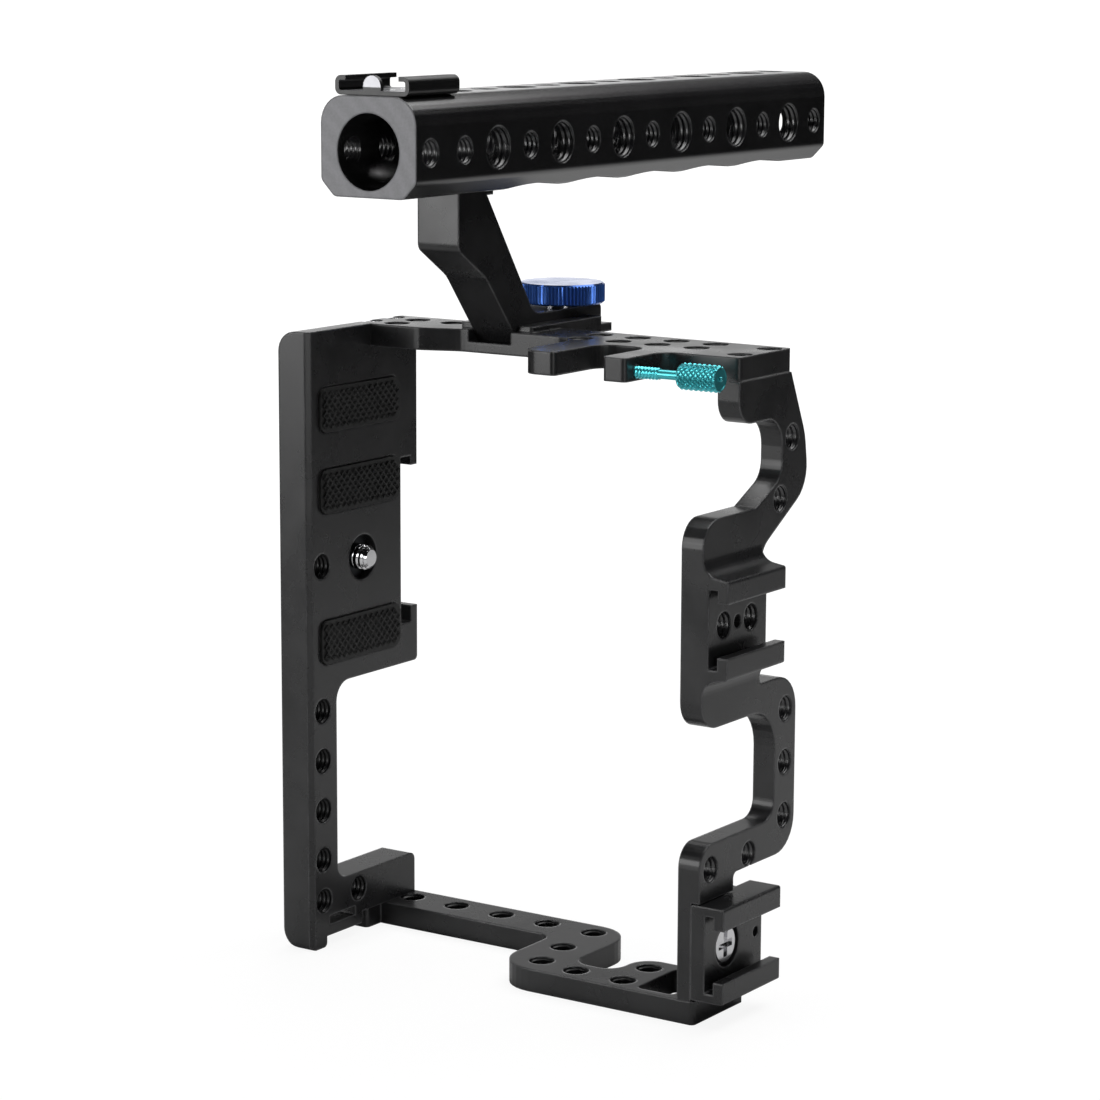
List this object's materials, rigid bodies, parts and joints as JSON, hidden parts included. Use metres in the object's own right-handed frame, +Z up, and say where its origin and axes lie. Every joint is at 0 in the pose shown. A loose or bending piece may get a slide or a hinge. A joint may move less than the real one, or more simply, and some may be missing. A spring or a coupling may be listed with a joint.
{
  "type": "camera cage",
  "caption": "Anodised camera cage with tapped holes, cold shoes, a cable clamp screw and a pierced top handle clamped by a fluted knob.",
  "frame": {"origin": "bottom centre of the whole part's box at rest", "axes": "+Z up as the cage stands in the picture, +X from the base plate to the side wall, +Y from the cage's front to the handle's tail"},
  "size_m": [0.1264, 0.1878, 0.2189],
  "materials": {
    "black_anodised": "satin black anodised",
    "blue_anodised": "gloss blue anodised",
    "teal_anodised": "gloss teal anodised",
    "rubber": "matt, diamond texture",
    "bright_steel": "bright plated",
    "black_steel": "black plated"
  },
  "bodies": {
    "cage": {"base_plate": "black_anodised", "pad_upper": "rubber", "pad_middle": "rubber", "pad_lower": "rubber", "top_plate": "black_anodised", "side_wall": "black_anodised", "lower_arm": "black_anodised", "shoe_block": "black_anodised", "shoe_block_screw": "bright_steel", "top_left_screws": "bright_steel", "top_right_screws": "bright_steel", "wall_foot_screws": "black_steel", "foot_screws": "black_steel"},
    "retaining_clip": {"screw_clip": "black_steel"},
    "camera_screw": {"camera_screw": "bright_steel"},
    "handle": {"riser": "black_anodised", "handle_tube": "black_anodised", "handle_screw": "black_steel", "accessory_shoe": "black_steel", "accessory_shoe_screws": "bright_steel", "knob_washer": "bright_steel"},
    "stud": {"clamp_stud": "bright_steel"},
    "knob": {"clamp_knob": "blue_anodised"},
    "cable_shank": {"cable_screw_shank": "teal_anodised"},
    "cable_head": {"cable_screw_head": "teal_anodised"}
  },
  "joints": [
    {"name": "handle_slide", "type": "slide", "parent": "cage", "child": "handle", "axis": [0, 1, 0], "range_m": [0, 0.026]},
    {"name": "stud_travel", "type": "slide", "parent": "handle", "child": "stud", "axis": [0, 0, 1], "range_m": [0, 0.0016]},
    {"name": "knob_turn", "type": "hinge", "parent": "stud", "child": "knob", "pos_m": [-0.02065, -0.0137, 0.1625], "axis": [0, 0, 1], "range_deg": [0, 721]},
    {"name": "clip_play", "type": "slide", "parent": "cage", "child": "retaining_clip", "axis": [1, 0, 0], "range_m": [0, 0.00175]},
    {"name": "camera_screw_turn", "type": "hinge", "parent": "retaining_clip", "child": "camera_screw", "pos_m": [-0.05395, -0.0529, 0.0973], "axis": [1, 0, 0], "continuous": true},
    {"name": "cable_screw_travel", "type": "slide", "parent": "cage", "child": "cable_shank", "axis": [-1, 0, 0], "range_m": [0, 0.005]},
    {"name": "cable_head_turn", "type": "hinge", "parent": "cable_shank", "child": "cable_head", "pos_m": [0.05285, -0.0671, 0.152], "axis": [-1, 0, 0], "range_deg": [0, 3601]}
  ],
  "couplings": [
    {"joint": "knob_turn", "follows": "stud_travel", "rad_per_m": 7854},
    {"joint": "cable_head_turn", "follows": "cable_screw_travel", "rad_per_m": 12566}
  ]
}
